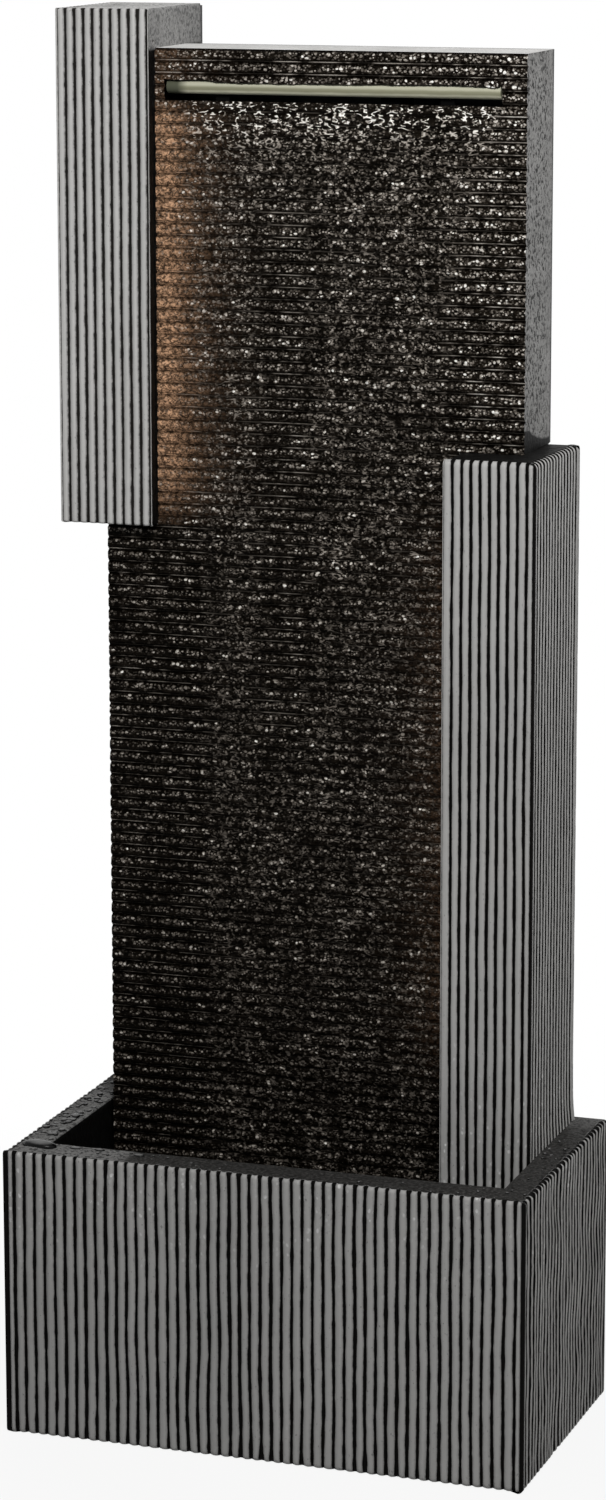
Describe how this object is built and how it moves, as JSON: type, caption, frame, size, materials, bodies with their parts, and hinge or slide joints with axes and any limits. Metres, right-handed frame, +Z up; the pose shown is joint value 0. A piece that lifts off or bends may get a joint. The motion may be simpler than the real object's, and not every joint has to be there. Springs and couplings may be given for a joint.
{
  "type": "garden fountain",
  "caption": "Floor-standing fountain: fluted basin, ribbed water wall between two fluted pillars, slotted water bar, hidden amber lights, submersible pump behind a hinged rear door.",
  "frame": {"origin": "middle of the basin's flat underside, on the floor", "axes": "+X to the viewer's right, +Y to the back, +Z up"},
  "size_m": [0.3919, 0.2448, 1.016],
  "materials": {
    "fluted_resin": "brushed grey over black",
    "wall_resin": "wet black",
    "rear_plates": "matte",
    "door_plastic": "matte",
    "steel": "brushed",
    "black_rubber": "matte",
    "cream_tube": "glossy",
    "grey_fitting": "matte",
    "clear_hose": "clear",
    "pump_plastic": "satin",
    "impeller_plastic": "satin",
    "shaft_ceramic": "polished",
    "light_channel": "anodised",
    "light_board": "matte",
    "light_lens": "frosted amber"
  },
  "bodies": {
    "fountain": {"basin": "fluted_resin", "left_pillar": "fluted_resin", "right_pillar": "fluted_resin", "water_wall": "wall_resin", "left_pillar_back": "rear_plates", "right_pillar_back": "rear_plates", "rear_cover": "rear_plates", "door_catch": "door_plastic", "hinge_pins": "steel", "cover_screws": "steel", "pillar_back_screws": "steel", "pillar_bolts": "steel", "pillar_nuts": "steel", "cable_grommet": "black_rubber", "suction_cups": "black_rubber", "water_bar": "cream_tube", "water_bar_caps": "cream_tube", "water_bar_saddles": "grey_fitting", "feed_elbow": "grey_fitting", "hose_clips": "grey_fitting", "hose_clamps": "steel", "supply_hose": "clear_hose", "pump_housing": "pump_plastic", "chamber_cover": "pump_plastic", "outlet_barb": "pump_plastic", "impeller_shaft": "shaft_ceramic", "left_light_channel": "light_channel", "right_light_channel": "light_channel", "left_light_board": "light_board", "right_light_board": "light_board", "left_light_lens": "light_lens", "right_light_lens": "light_lens"},
    "access_door": {"access_door": "door_plastic", "door_knob": "door_plastic", "strike_plate": "steel"},
    "impeller": {"pump_impeller": "impeller_plastic"},
    "strainer": {"pump_strainer": "pump_plastic"},
    "flow_dial": {"flow_dial": "impeller_plastic"},
    "drain_plug": {"drain_plug": "black_rubber"}
  },
  "joints": [
    {"name": "access_door_hinge", "type": "hinge", "parent": "fountain", "child": "access_door", "pos_m": [-0.12, 0.1079, 0.316], "axis": [0, 0, 1], "range_deg": [0, 105]},
    {"name": "impeller_spin", "type": "hinge", "parent": "fountain", "child": "impeller", "pos_m": [0.045, 0.0711, 0.04], "axis": [1, 0, 0], "continuous": true},
    {"name": "strainer_pull", "type": "slide", "parent": "fountain", "child": "strainer", "axis": [-1, 0, 0], "range_m": [0, 0.03]},
    {"name": "flow_dial_turn", "type": "hinge", "parent": "strainer", "child": "flow_dial", "pos_m": [0.045, 0.0711, 0.04], "axis": [1, 0, 0], "range_deg": [0, 90]},
    {"name": "drain_plug_pull", "type": "slide", "parent": "fountain", "child": "drain_plug", "axis": [0, 1, 0], "range_m": [0, 0.025]}
  ]
}
